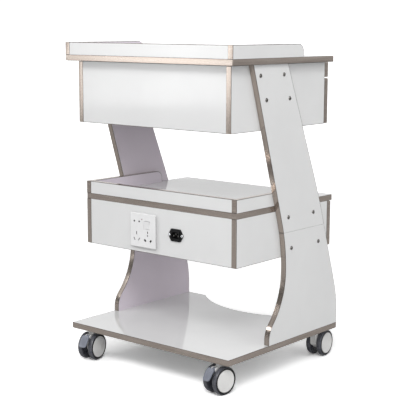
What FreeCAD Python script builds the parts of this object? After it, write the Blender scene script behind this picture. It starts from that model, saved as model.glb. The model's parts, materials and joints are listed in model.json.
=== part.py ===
import FreeCAD, Part
import math
import os

# Rolling salon trolley: a wheeled base board, two slanted side panels, a middle case with one
# drawer and a mains socket, and a top case with two drawers. Each case is roofed by a tray board
# with a low gallery on three sides. Millimetres. +Z is up, -Y is the drawer side, -X is left.

# ---- boards and edging
BOARD = 15.0                    # thickness of every laminated board
BAND = 1.2                      # thickness of the edging glued on the board edges
BOARD_CORNER = 2.0              # corner radius of the tray boards, seen from above
REAR_Y = 229.95                 # rear edge of the base board and of the top board
TOUCH = 0.6                     # gap between a closed drawer front and its case

# ---- levels
BASE_UNDER = 80.0               # underside of the base board, on top of the casters
BASE_TOP = BASE_UNDER + BOARD
MIDDLE_TOP = 437.0              # top face of the middle tray board
TOP_TOP = 795.0                 # top face of the top tray board
MIDDLE_CASE_FLOOR = 304.5       # lowest face of the middle case
TOP_CASE_FLOOR = 623.5          # lowest face of the top case

# ---- plan sizes
CASE_WIDTH = 500.0
CASE_DEPTH = 376.5
SIDE_X = CASE_WIDTH / 2         # inner face of the side panels, outer face of the cases
BASE_WIDTH = CASE_WIDTH + 2 * BOARD
BASE_DEPTH = 455.0
TOP_WIDTH = 546.0
TOP_DEPTH = 404.0
MIDDLE_DEPTH = 398.0
TOP_CASE_REAR = REAR_Y - 23.0
MIDDLE_CASE_REAR = REAR_Y - 46.0
TOP_CASE_FRONT = TOP_CASE_REAR - CASE_DEPTH
MIDDLE_CASE_FRONT = MIDDLE_CASE_REAR - CASE_DEPTH
REAR_INSET = 0.5                # case rear panel behind the rear edges of the case sides
SHADOW_GAP = 1.8                # groove round the top case, under its tray board
SHADOW_DEPTH = 4.0
CASE_FLOOR_THICK = 12.0

# ---- hollow in the base board's front edge
HOLLOW_RADIUS = 265.0
HOLLOW_DEPTH = 77.5
HOLLOW_LIP = 15.0               # rounding where the hollow meets the front edge

# ---- galleries
RAIL_HEIGHT = 31.5
RAIL_LENGTH = 275.0
RAIL_NOSE = 20.0                # rounded upper front corner

# ---- side panels
SEAM_Z = 368.0                  # joint between the upper and lower side panels
SEAM_GAP = 0.4
BOLT_RADIUS = 3.0
BOLT_HEAD_RADIUS = 5.0
BOLT_HEAD_HEIGHT = 2.6
BOLT_REACH = 28.0               # shank length, through the panel and into the case side
UPPER_BOLT_Z = (754.5, 696.7)
MIDDLE_BOLT_Z = (405.5, 326.7)
# distances forward of the rear edge, one pair for each bolt height
BOLT_FORWARD = ((113.0, 205.2), (137.1, 229.8), (231.4, 337.9), (246.0, 362.8))
BASE_SCREW_FORWARD = (199.0, 304.0, 409.0)
BASE_SCREW_RADIUS = 2.5
BASE_SCREW_HEAD = 4.5
BASE_SCREW_LENGTH = 50.0

# ---- drawers
DRAWER_BOARD = 12.0
DRAWER_BOTTOM = 6.0
SLIDE_GAP = 12.7                # room for a slide between drawer and case side
SLIDE_METAL = 1.2
FRONT_SIDE_GAP = 0.5
HANDLE_PITCH = 128.0
HANDLE_RADIUS = 5.0
HANDLE_STAND = 27.0
HANDLE_BEND = 12.0
# name, case front, front z range, box z range, box depth, slide height, travel
DRAWERS = (
    ("upper_drawer", TOP_CASE_FRONT, (741.2, 778.5), (746.0, 773.0), 350.0, 20.0),
    ("lower_drawer", TOP_CASE_FRONT, (624.0, 738.2), (642.0, 728.0), 350.0, 35.0),
    ("middle_drawer", MIDDLE_CASE_FRONT, (305.0, 420.5), (323.0, 409.0), 300.0, 35.0),
)

# ---- mains socket and inlet on the middle case's rear panel
POWER_Z = 362.0
PLATE_X = 43.5
PLATE_SIZE = 86.0
PLATE_THICK = 8.0
PLATE_CORNER = 3.0
PLATE_LIP = 3.5                 # thickness of the plate's full-size front
PLATE_UNDERCUT = 3.0            # its rear part is this much smaller on every side
PLATE_SHELL = 1.5               # front wall where the outlets are
# hollows behind the outlets: centre and size, from the middle of the plate
PLATE_HOLLOWS = ((21.0, 22.0, 28.0, 12.0), (20.8, -15.5, 26.0, 27.0), (-17.2, -16.0, 30.0, 30.0))
BACK_BOX = 70.0
BACK_BOX_DEPTH = 40.0
BACK_BOX_WALL = 1.8
ROCKER_X = PLATE_X - 13.0
ROCKER_Z = POWER_Z + 14.5
ROCKER_WIDTH = 20.0
ROCKER_HEIGHT = 20.0
ROCKER_GAP = 0.5
ROCKER_REST = -7.0              # degrees, pressed at its lower half
ROCKER_PIVOT_DEPTH = 3.0        # pivot behind the plate's front face
TRUNNION_RADIUS = 1.2
TRUNNION_REACH = 1.8
INLET_X = -61.5
INLET_FLANGE = (48.0, 31.0, 3.0)
INLET_BODY = (28.0, 21.0, 26.0)
INLET_CAVITY = (24.0, 16.5, 17.0)
INLET_SCREW_PITCH = 40.0
INLET_PIN = (2.0, 4.0, 13.0)
LEAD_RADIUS = 3.0

# ---- casters
WHEEL_RADIUS = 34.5
WHEEL_WIDTH = 14.5
WHEEL_GAP = 17.0                # free width between the twin wheels
CASTER_TRAIL = 25.0             # wheel axle behind the swivel axis
CAP_RADIUS = 27.5
AXLE_RADIUS = 4.0
AXLE_REACH = 11.0               # axle beyond the inner face of each wheel
BORE_DEPTH = 11.5
FIT = 0.06                      # radial running clearance
STEM_RADIUS = 5.0
BODY_WIDTH = 15.4
BODY_TOP = 76.5
PEDAL_PIVOT = (40.0, 62.0)      # behind the swivel axis, above the floor
PEDAL_WIDTH = 22.0
PEDAL_TOP = (10.5, 4.5)         # upper end of the tread's inner face, from the pivot
PEDAL_FOOT = (29.5, -22.5)      # its lower end
PEDAL_THICK = 3.2
PEDAL_CORNER = 7.0
REAR_STEM_Y = REAR_Y - 49.0
FRONT_STEM_Y = REAR_Y - 421.0
# name, swivel axis x and y, heading in degrees (0 trails to +Y), brake pedal
CASTERS = (
    ("rear_left", -221.0, REAR_STEM_Y, -6.5, True),
    ("rear_right", 221.0, REAR_STEM_Y, 10.7, True),
    ("front_left", -221.0, FRONT_STEM_Y, 185.3, False),
    ("front_right", 221.0, FRONT_STEM_Y, 172.0, False),
)


def vec(x, y, z):
    return FreeCAD.Vector(x, y, z)


def block(x_low, x_high, y_low, y_high, z_low, z_high):
    size = (x_high - x_low, y_high - y_low, z_high - z_low)
    return Part.makeBox(size[0], size[1], size[2], vec(x_low, y_low, z_low))


def rod(radius, start, direction, length):
    return Part.makeCylinder(radius, length, start, direction)


def corner_arc(before, corner, after, radius):
    """Tangent points and middle point of the arc that rounds a corner of an outline."""
    to_before = (before - corner).normalize()
    to_after = (after - corner).normalize()
    half_angle = to_before.getAngle(to_after) / 2
    reach = radius / math.tan(half_angle)
    start = corner + to_before * reach
    end = corner + to_after * reach
    inward = (to_before + to_after).normalize()
    middle = corner + inward * (radius / math.sin(half_angle) - radius)
    return start, middle, end


def outline(points, place):
    """Closed wire through (a, b, radius) points; place(a, b) puts them in space."""
    corners = [place(a, b) for a, b, radius in points]
    count = len(points)
    pieces = []
    for index in range(count):
        radius = points[index][2]
        corner = corners[index]
        if radius > 0:
            pieces.append(corner_arc(corners[index - 1], corner, corners[(index + 1) % count], radius))
        else:
            pieces.append((corner, None, corner))
    edges = []
    for index in range(count):
        start, middle, end = pieces[index]
        if middle is not None:
            edges.append(Part.Arc(start, middle, end).toShape())
        following = pieces[(index + 1) % count][0]
        if end.distanceToPoint(following) > 1e-6:
            edges.append(Part.LineSegment(end, following).toShape())
    return Part.Wire(edges)


def prism(points, place, sweep):
    return Part.Face(outline(points, place)).extrude(sweep)


def inset(points, amount):
    """The outline moved inwards by amount; points run counter-clockwise in (a, b)."""
    count = len(points)
    moved = []
    for index in range(count):
        a, b, radius = points[index]
        before = points[index - 1]
        after = points[(index + 1) % count]
        arrive = vec(a - before[0], b - before[1], 0).normalize()
        leave = vec(after[0] - a, after[1] - b, 0).normalize()
        normals = vec(-arrive.y - leave.y, arrive.x + leave.x, 0)
        step = normals * (amount / (1 + arrive.dot(leave)))
        convex = arrive.cross(leave).z > 0
        if radius > 0:
            radius = radius - amount if convex else radius + amount
        moved.append((a + step.x, b + step.y, radius))
    return moved


def banded(points, place, sweep):
    """A board with edging all round: the core and the ring of edging."""
    core = prism(inset(points, BAND), place, sweep)
    return core, prism(points, place, sweep).cut(core)


def on_plan(z):
    return lambda x, y: vec(x, y, z)


def on_side(x):
    return lambda y, z: vec(x, y, z)


def write(name, shapes):
    """One STEP file per node; a node may be a group of separate solids."""
    solids = [solid for shape in shapes for solid in shape.Solids]
    shape = solids[0] if len(solids) == 1 else Part.makeCompound(solids)
    if not shape.isValid():
        raise ValueError(name + " is not a valid shape")
    shape.exportStep(os.path.join("parts", name + ".step"))
    print(name, len(solids), "solids", round(sum(s.Volume for s in solids) / 1000, 1), "cm3")


# ------------------------------------------------------------------ boards
def tray_board(width, depth, rear, top):
    half = width / 2
    corners = ((-half, rear - depth), (half, rear - depth), (half, rear), (-half, rear))
    points = [(x, y, BOARD_CORNER) for x, y in corners]
    return banded(points, on_plan(top - BOARD), vec(0, 0, BOARD))


def base_board():
    half = BASE_WIDTH / 2
    front = REAR_Y - BASE_DEPTH
    corners = ((-half, REAR_Y), (half, REAR_Y), (half, front), (-half, front))
    plate = prism([(x, y, BOARD_CORNER) for x, y in corners], on_plan(BASE_UNDER), vec(0, 0, BOARD))
    hollow_centre = vec(0, front + HOLLOW_DEPTH - HOLLOW_RADIUS, BASE_UNDER)
    plate = plate.cut(Part.makeCylinder(HOLLOW_RADIUS, BOARD, hollow_centre))
    lips = [edge for edge in plate.Edges if is_hollow_lip(edge, front)]
    plate = plate.makeFillet(HOLLOW_LIP, lips)
    face = [f for f in plate.Faces if f.normalAt(0, 0).z < -0.9][0]
    inner = Part.Face(face.OuterWire.makeOffset2D(-BAND, 2))
    if inner.Area > face.Area:
        inner = Part.Face(face.OuterWire.makeOffset2D(BAND, 2))
    core = inner.extrude(vec(0, 0, BOARD))
    return core, plate.cut(core)


def is_hollow_lip(edge, front):
    middle = edge.CenterOfMass
    upright = abs(edge.BoundBox.ZLength - BOARD) < 0.01 and edge.BoundBox.XLength < 0.01
    return upright and abs(middle.y - front) < 0.1 and abs(middle.x) < BASE_WIDTH / 2 - 20


def base_screws():
    """Screws up through the base board into the lower side panels."""
    screws = []
    for side in (-1, 1):
        x = side * (SIDE_X + BOARD / 2)
        for forward in BASE_SCREW_FORWARD:
            y = REAR_Y - forward
            head = Part.makeCone(BASE_SCREW_HEAD, BASE_SCREW_RADIUS, 4, vec(x, y, BASE_UNDER))
            shank = rod(BASE_SCREW_RADIUS, vec(x, y, BASE_UNDER), vec(0, 0, 1), BASE_SCREW_LENGTH)
            screws.append(head.fuse(shank).removeSplitter())
    return screws


# ------------------------------------------------------------------ side panels
def side_outline(spare):
    """The Z-shaped side, from above the top case down to below the base board's top face."""
    rear_lean = 0.31                # the rear edge moves forward this much per unit of height
    front_lean = 0.417
    shin_lean = 0.331
    top = TOP_TOP - BOARD
    waist_y = REAR_Y - 223.8
    rear_top_y = REAR_Y - 86.0
    front_top_y = REAR_Y - 222.0
    heel_y = REAR_Y - 158.0
    toe_y = REAR_Y - BASE_DEPTH + 1.0
    knee_z = 443.0
    knee_y = front_top_y - front_lean * (top - knee_z)
    toe_z = knee_z - (knee_y - toe_y) / shin_lean
    waist_z = top - (rear_top_y - waist_y) / rear_lean
    return (
        (rear_top_y + rear_lean * spare, top + spare, 0),
        (waist_y, waist_z, 418.0),
        (waist_y, 201.0, 184.0),
        (heel_y, 128.0, 56.0),
        (heel_y, BASE_TOP - spare, 0),
        (toe_y, BASE_TOP - spare, 0),
        (toe_y, toe_z, 254.0),
        (knee_y, knee_z, 1500.0),
        (front_top_y + front_lean * spare, top + spare, 0),
    )[::-1]


def side_panels(side):
    """Upper panel, lower panel and the edging on their front and rear edges."""
    spare = 20.0
    x = SIDE_X if side > 0 else -SIDE_X - BOARD
    core, ring = banded(side_outline(spare), on_side(x), vec(BOARD, 0, 0))
    reach = 400.0
    upper_zone = block(x - 1, x + BOARD + 1, -reach, reach, SEAM_Z + SEAM_GAP / 2, TOP_TOP - BOARD)
    lower_zone = block(x - 1, x + BOARD + 1, -reach, reach, BASE_TOP, SEAM_Z - SEAM_GAP / 2)
    bands = [ring.common(upper_zone), ring.common(lower_zone)]
    return core.common(upper_zone), core.common(lower_zone), bands


def side_bolts():
    bolts = []
    for side in (-1, 1):
        for z, row in zip(UPPER_BOLT_Z + MIDDLE_BOLT_Z, BOLT_FORWARD):
            for forward in row:
                bolts.append(side_bolt(side, REAR_Y - forward, z))
    return bolts


def side_bolt(side, y, z):
    face = side * (SIDE_X + BOARD)
    outward = vec(side, 0, 0)
    shank = rod(BOLT_RADIUS, vec(face - side * BOLT_REACH, y, z), outward, BOLT_REACH)
    ball_radius = (BOLT_HEAD_RADIUS ** 2 + BOLT_HEAD_HEIGHT ** 2) / (2 * BOLT_HEAD_HEIGHT)
    centre_x = face + side * (BOLT_HEAD_HEIGHT - ball_radius)
    ball = Part.makeSphere(ball_radius, vec(centre_x, y, z))
    head = rod(BOLT_HEAD_RADIUS + 1, vec(face, y, z), outward, BOLT_HEAD_HEIGHT + 1).common(ball)
    return head.fuse(shank).removeSplitter()


# ------------------------------------------------------------------ cases
def case_side(side, front, rear, low, high, gap):
    """A case side board, with a groove of height gap along its top, and the edging on three edges."""
    outer = side * SIDE_X
    inner = side * (SIDE_X - BOARD)
    x_low, x_high = min(outer, inner), max(outer, inner)
    shoulder = high - gap
    core = block(x_low, x_high, front + BAND, rear - BAND, low + BAND, shoulder)
    if gap > 0:
        recessed = side * (SIDE_X - SHADOW_DEPTH)
        neck = block(min(recessed, inner), max(recessed, inner), front + SHADOW_DEPTH,
                     rear - SHADOW_DEPTH, shoulder, high)
        core = core.fuse(neck).removeSplitter()
    front_band = block(x_low, x_high, front, front + BAND, low, shoulder)
    rear_band = block(x_low, x_high, rear - BAND, rear, low, shoulder)
    lower_band = block(x_low, x_high, front + BAND, rear - BAND, low, low + BAND)
    return core, [front_band, rear_band, lower_band]


def case_rear(rear, low, high, gap):
    """A case rear panel, with a groove of height gap along its top, and its lower edging."""
    half = SIDE_X - BOARD
    face = rear - REAR_INSET
    shoulder = high - gap
    panel = block(-half, half, face - BOARD, face, low + BAND, shoulder)
    if gap > 0:
        neck = block(-half, half, face - BOARD, face - SHADOW_DEPTH, shoulder, high)
        panel = panel.fuse(neck).removeSplitter()
    return panel, block(-half, half, face - BOARD, face, low, low + BAND)


def case_floor(front, rear, low):
    half = SIDE_X - BOARD
    return block(-half, half, front, rear - REAR_INSET - BOARD, low, low + CASE_FLOOR_THICK)


# ------------------------------------------------------------------ galleries
def gallery(half_width, rear, board_top):
    """Two side rails, the rear rail between them and their edging."""
    spare = 10.0
    front = rear - RAIL_LENGTH
    crown = board_top + RAIL_HEIGHT
    points = (
        (rear, crown, 0),
        (front, crown, RAIL_NOSE),
        (front, board_top - spare, 0),
        (rear, board_top - spare, 0),
    )
    rails = []
    bands = []
    for x in (-half_width, half_width - BOARD):
        zone = block(x - 1, x + BOARD + 1, front - 1, rear + 1, board_top, crown + 1)
        core, ring = banded(points, on_side(x), vec(BOARD, 0, 0))
        rails.append(core.common(zone))
        bands.append(ring.common(zone))
    inner = half_width - BOARD
    face = rear - REAR_INSET
    rear_rail = block(-inner, inner, face - BOARD, face, board_top, crown - BAND)
    bands.append(block(-inner, inner, face - BOARD, face, crown - BAND, crown))
    return rails, rear_rail, bands


# ------------------------------------------------------------------ drawers
def drawer_front(case_front, low, high):
    half = SIDE_X - FRONT_SIDE_GAP
    back = case_front - TOUCH
    corners = ((-half, low), (half, low), (half, high), (-half, high))
    points = [(x, z, 1.5) for x, z in corners]
    return banded(points, lambda x, z: vec(x, back - BOARD, z), vec(0, BOARD, 0))


def drawer_box(case_front, low, high, depth):
    """Two sides, a back, an inner front and a bottom let in between them."""
    half = SIDE_X - BOARD - SLIDE_GAP
    inner = half - DRAWER_BOARD
    start = case_front - TOUCH
    end = start + depth
    left = block(-half, -inner, start, end, low, high)
    right = block(inner, half, start, end, low, high)
    inner_front = block(-inner, inner, start, start + DRAWER_BOARD, low, high)
    back = block(-inner, inner, end - DRAWER_BOARD, end, low, high)
    bottom = block(-inner, inner, start + DRAWER_BOARD, end - DRAWER_BOARD, low, low + DRAWER_BOTTOM)
    return [left, right, inner_front, back, bottom]


def handle(case_front, low, high):
    """A bow handle: two posts and a bar, joined by round bends."""
    face = case_front - TOUCH - BOARD
    z = (low + high) / 2
    half = HANDLE_PITCH / 2
    bar_y = face - HANDLE_STAND + HANDLE_RADIUS
    corner_left = vec(-half, bar_y, z)
    corner_right = vec(half, bar_y, z)
    foot_left = vec(-half, face, z)
    foot_right = vec(half, face, z)
    left = corner_arc(foot_left, corner_left, corner_right, HANDLE_BEND)
    right = corner_arc(corner_left, corner_right, foot_right, HANDLE_BEND)
    edges = [
        Part.LineSegment(foot_left, left[0]).toShape(),
        Part.Arc(left[0], left[1], left[2]).toShape(),
        Part.LineSegment(left[2], right[0]).toShape(),
        Part.Arc(right[0], right[1], right[2]).toShape(),
        Part.LineSegment(right[2], foot_right).toShape(),
    ]
    section = Part.Wire(Part.makeCircle(HANDLE_RADIUS, foot_left, vec(0, -1, 0)))
    return Part.Wire(edges).makePipeShell([section], True, False)


def channel(side, web_x, lip_x, start, length, z, height):
    """A slide member: a web with a flange along each long edge, opening towards lip_x."""
    inner = web_x + math.copysign(SLIDE_METAL, lip_x - web_x)
    xs = [side * value for value in (web_x, lip_x, inner)]
    whole = block(min(xs), max(xs), start, start + length, z - height / 2, z + height / 2)
    space_low = z - height / 2 + SLIDE_METAL
    space_high = z + height / 2 - SLIDE_METAL
    hollow_x = sorted((side * inner, side * (lip_x + math.copysign(1, lip_x - web_x))))
    hollow = block(hollow_x[0], hollow_x[1], start - 1, start + length + 1, space_low, space_high)
    return whole.cut(hollow)


def slides(case_front, low, high, depth, height):
    """Case members and drawer members of the two slides of one drawer."""
    case_face = SIDE_X - BOARD
    drawer_face = case_face - SLIDE_GAP
    z = (low + high) / 2
    start = case_front + 2
    length = depth - 4
    case_members = []
    drawer_members = []
    for side in (-1, 1):
        case_members.append(channel(side, case_face, case_face - 9, start, length, z, height))
        drawer_members.append(
            channel(side, drawer_face, drawer_face + 9, start, length, z, height - 8))
    return case_members, drawer_members


# ------------------------------------------------------------------ mains socket and inlet
def power_panel(panel):
    """Cut the socket box and inlet holes in the middle case's rear panel."""
    face = MIDDLE_CASE_REAR - REAR_INSET
    half = BACK_BOX / 2 + 0.5
    box_hole = block(PLATE_X - half, PLATE_X + half, face - BOARD - 1, face + 1,
                     POWER_Z - half, POWER_Z + half)
    inlet_hole = centred_block(INLET_X, POWER_Z, INLET_BODY[0] + 0.6, INLET_BODY[1] + 0.6,
                               face - BOARD - 1, face + 1)
    return panel.cut(box_hole).cut(inlet_hole)


def centred_block(x, z, width, height, y_low, y_high):
    return block(x - width / 2, x + width / 2, y_low, y_high, z - height / 2, z + height / 2)


def socket_plate():
    """Wall plate with a round-pin pair, a three-slot outlet, a universal outlet and a lamp."""
    face = MIDDLE_CASE_REAR - REAR_INSET
    front = face + PLATE_THICK
    plate = plate_slab(PLATE_SIZE, front - PLATE_LIP, front)
    rim = [e for e in plate.Edges if abs(e.BoundBox.YMin - front) < 0.01 and e.BoundBox.YLength < 0.01]
    plate = plate.makeFillet(1.5, rim)
    plate = plate.fuse(plate_slab(PLATE_SIZE - 2 * PLATE_UNDERCUT, face, front - PLATE_LIP))
    cuts = [centred_block(ROCKER_X, ROCKER_Z, ROCKER_WIDTH + 2 * ROCKER_GAP,
                          ROCKER_HEIGHT + 2 * ROCKER_GAP, face - 1, front + 1)]
    cuts.append(trunnions(TRUNNION_RADIUS + FIT, TRUNNION_REACH + 0.2))
    for x, z, width, height in PLATE_HOLLOWS:
        cuts.append(centred_block(PLATE_X + x, POWER_Z + z, width, height, face - 1, front - PLATE_SHELL))
    for x in (12.5, 29.0):
        cuts.append(round_hole(x, 21.8, 2.4))
    cuts.append(round_hole(3.2, 27.7, 1.6))
    cuts.append(slot(21.2, -8.0, 2.2, 8.0, 0))
    for x, turn in ((13.1, -30.0), (28.9, 30.0)):
        cuts.append(slot(x, -23.5, 2.2, 8.0, turn))
    cuts.append(slot(-16.3, -3.6, 2.4, 5.6, 0))
    cuts.append(slot(-16.3, -11.8, 3.0, 3.6, 0))
    for x, turn in ((-7.6, 40.0), (-26.7, -40.0)):
        cuts.append(slot(x, -24.3, 4.8, 7.0, turn))
    for cut in cuts:
        plate = plate.cut(cut)
    return plate.removeSplitter()


def plate_slab(size, y_low, y_high):
    half = size / 2
    corners = ((-half, -half), (half, -half), (half, half), (-half, half))
    points = [(PLATE_X + x, POWER_Z + z, PLATE_CORNER) for x, z in corners]
    return prism(points, lambda x, z: vec(x, y_low, z), vec(0, y_high - y_low, 0))


def round_hole(x, z, radius):
    start = vec(PLATE_X + x, MIDDLE_CASE_REAR - 2, POWER_Z + z)
    return rod(radius, start, vec(0, 1, 0), PLATE_THICK + 4)


def slot(x, z, width, height, turn):
    """A through slot in the plate, turned in the plate's plane."""
    low = MIDDLE_CASE_REAR - 2
    cut = centred_block(PLATE_X + x, POWER_Z + z, width, height, low, low + PLATE_THICK + 4)
    cut.rotate(vec(PLATE_X + x, 0, POWER_Z + z), vec(0, 1, 0), turn)
    return cut


def trunnions(radius, reach):
    """The rocker's pivot pins, or with more radius and reach the holes they turn in."""
    pivot_y = MIDDLE_CASE_REAR - REAR_INSET + PLATE_THICK - ROCKER_PIVOT_DEPTH
    half = ROCKER_WIDTH / 2 + reach
    return rod(radius, vec(ROCKER_X - half, pivot_y, ROCKER_Z), vec(1, 0, 0), 2 * half)


def socket_rocker():
    """A shallow V-shaped rocker on two pivot pins, tipped to its off position."""
    pivot_y = MIDDLE_CASE_REAR - REAR_INSET + PLATE_THICK - ROCKER_PIVOT_DEPTH
    half = ROCKER_HEIGHT / 2
    points = (
        (pivot_y - 3, ROCKER_Z - half + 1, 0.5),
        (pivot_y + 3.6, ROCKER_Z - half, 0.8),
        (pivot_y + 2.6, ROCKER_Z, 0),
        (pivot_y + 3.6, ROCKER_Z + half, 0.8),
        (pivot_y - 3, ROCKER_Z + half - 1, 0.5),
    )
    x_low = ROCKER_X - ROCKER_WIDTH / 2
    rocker = prism(points, on_side(x_low), vec(ROCKER_WIDTH, 0, 0))
    rocker = rocker.fuse(trunnions(TRUNNION_RADIUS, TRUNNION_REACH)).removeSplitter()
    rocker.rotate(vec(ROCKER_X, pivot_y, ROCKER_Z), vec(1, 0, 0), ROCKER_REST)
    return rocker


def socket_back_box():
    face = MIDDLE_CASE_REAR - REAR_INSET
    outer = centred_block(PLATE_X, POWER_Z, BACK_BOX, BACK_BOX, face - BACK_BOX_DEPTH, face)
    inside = BACK_BOX - 2 * BACK_BOX_WALL
    hollow = centred_block(PLATE_X, POWER_Z, inside, inside,
                           face - BACK_BOX_DEPTH + BACK_BOX_WALL, face + 1)
    return outer.cut(hollow)


def power_inlet():
    """Screw-mounted appliance inlet: flange, body with its cavity, and three pins."""
    face = MIDDLE_CASE_REAR - REAR_INSET
    width, height, thick = INLET_FLANGE
    neck = INLET_BODY[0] / 2 + 1
    points = []
    for x, z, radius in ((width / 2, 0, 4.5), (neck, height / 2, 3), (-neck, height / 2, 3),
                         (-width / 2, 0, 4.5), (-neck, -height / 2, 3), (neck, -height / 2, 3)):
        points.append((INLET_X + x, POWER_Z + z, radius))
    flange = prism(points, lambda x, z: vec(x, face, z), vec(0, thick, 0))
    body = centred_block(INLET_X, POWER_Z, INLET_BODY[0], INLET_BODY[1], face - INLET_BODY[2], face)
    rim = centred_block(INLET_X, POWER_Z, INLET_CAVITY[0] + 4, INLET_CAVITY[1] + 4,
                        face, face + thick + 2.5)
    floor_y = face + thick + 2.5 - INLET_CAVITY[2]
    half_w = INLET_CAVITY[0] / 2
    half_h = INLET_CAVITY[1] / 2
    key = 5.0                       # the cavity's two cut corners, above
    cavity_points = ((-half_w, -half_h, 1), (half_w, -half_h, 1), (half_w, half_h - key, 1),
                     (half_w - key, half_h, 1), (-half_w + key, half_h, 1), (-half_w, half_h - key, 1))
    cavity = prism([(INLET_X + x, POWER_Z + z, r) for x, z, r in cavity_points],
                   lambda x, z: vec(x, floor_y, z), vec(0, INLET_CAVITY[2] + 1, 0))
    housing = flange.fuse(body).fuse(rim).removeSplitter().cut(cavity)
    for side in (-1, 1):
        x = INLET_X + side * INLET_SCREW_PITCH / 2
        housing = housing.cut(rod(1.6, vec(x, face - 1, POWER_Z), vec(0, 1, 0), thick + 2))
    pins = [inlet_pin(x, z, floor_y) for x, z in ((-7.0, -2.0), (7.0, -2.0), (0.0, 2.5))]
    return [housing] + pins


def inlet_pin(x, z, floor_y):
    width, height, length = INLET_PIN
    return centred_block(INLET_X + x, POWER_Z + z, width, height, floor_y, floor_y + length)


def inlet_screws():
    """Pan-head screws through the inlet's ears into the rear panel."""
    face = MIDDLE_CASE_REAR - REAR_INSET + INLET_FLANGE[2]
    screws = []
    for side in (-1, 1):
        x = INLET_X + side * INLET_SCREW_PITCH / 2
        shank = rod(1.6, vec(x, face - 13, POWER_Z), vec(0, 1, 0), 13)
        ball = Part.makeSphere(4.2, vec(x, face - 1.9, POWER_Z))
        head = rod(3.7, vec(x, face, POWER_Z), vec(0, 1, 0), 3).common(ball)
        screws.append(head.fuse(shank).removeSplitter())
    return screws


def inlet_screw_holes(panel):
    face = MIDDLE_CASE_REAR - REAR_INSET
    for side in (-1, 1):
        x = INLET_X + side * INLET_SCREW_PITCH / 2
        panel = panel.cut(rod(1.6, vec(x, face - 10, POWER_Z), vec(0, 1, 0), 12))
    return panel


def mains_lead():
    """The lead inside the middle case, from the back of the inlet to the socket's back box."""
    face = MIDDLE_CASE_REAR - REAR_INSET
    start = vec(INLET_X, face - INLET_BODY[2], POWER_Z)
    turn = vec(INLET_X, face - INLET_BODY[2] - 17, POWER_Z)
    box_side = PLATE_X - BACK_BOX / 2
    rise = vec(box_side - 38, turn.y, POWER_Z)
    level = vec(box_side - 20, face - BACK_BOX_DEPTH / 2, POWER_Z)
    end = vec(box_side, level.y, POWER_Z)
    corners = [start, turn, rise, level, end]
    radii = (12.0, 14.0, 10.0)
    arcs = [corner_arc(corners[i], corners[i + 1], corners[i + 2], radii[i]) for i in range(3)]
    edges = []
    here = start
    for first, middle, last in arcs:
        edges.append(Part.LineSegment(here, first).toShape())
        edges.append(Part.Arc(first, middle, last).toShape())
        here = last
    edges.append(Part.LineSegment(here, end).toShape())
    section = Part.Wire(Part.makeCircle(LEAD_RADIUS, start, vec(0, -1, 0)))
    return Part.Wire(edges).makePipeShell([section], True, False)


# ------------------------------------------------------------------ casters
def to_heading(shape, x, y, heading):
    """Put a caster piece, built about its swivel axis and trailing to +Y, in its place."""
    shape.rotate(vec(0, 0, 0), vec(0, 0, 1), heading)
    shape.translate(vec(x, y, 0))
    return shape


def caster_stem(x, y):
    collar = rod(13.0, vec(x, y, BODY_TOP + 0.5), vec(0, 0, 1), BASE_UNDER - BODY_TOP - 0.5)
    pin = rod(STEM_RADIUS, vec(x, y, 60), vec(0, 0, 1), BASE_UNDER + 12 - 60)
    return collar.fuse(pin).removeSplitter()


def caster_body(brake):
    """The body between the twin wheels, bored for the stem, and the axle pressed into it."""
    half = BODY_WIDTH / 2
    ear_y, ear_z = PEDAL_PIVOT
    points = (
        (-12.0, BODY_TOP, 0),
        (-12.0, 36.0, 10.0),
        (10.0, 22.0, 6.0),
        (38.0, 23.0, 9.0),
        (37.0, 50.0, 8.0),
        (27.0, BODY_TOP, 0),
    )
    body = prism(points, on_side(-half), vec(BODY_WIDTH, 0, 0))
    flange = rod(15.0, vec(0, 0, 70.5), vec(0, 0, 1), BODY_TOP - 70.5)
    body = body.fuse(flange)
    if brake:
        ear = prism(((ear_y - 16, ear_z - 5.5, 0), (ear_y + 5.5, ear_z - 5.5, 5.4),
                     (ear_y + 5.5, ear_z + 5.5, 5.4), (ear_y - 16, ear_z + 5.5, 0)),
                    on_side(-half), vec(BODY_WIDTH, 0, 0))
        body = body.fuse(ear)
        slot_y = ear_y - 6.2
        body = body.cut(block(-5.3, 5.3, slot_y, ear_y + 8, ear_z - 12, BODY_TOP + 1))
        pin = rod(1.5, vec(-half, ear_y, ear_z), vec(1, 0, 0), BODY_WIDTH)
        body = body.fuse(pin)
    body = body.removeSplitter()
    body = body.cut(rod(STEM_RADIUS + FIT, vec(0, 0, 58), vec(0, 0, 1), BODY_TOP - 57))
    axle_start = vec(-WHEEL_GAP / 2 - AXLE_REACH, CASTER_TRAIL, WHEEL_RADIUS)
    axle = rod(AXLE_RADIUS, axle_start, vec(1, 0, 0), WHEEL_GAP + 2 * AXLE_REACH)
    return [body.cut(axle), axle]


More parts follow.
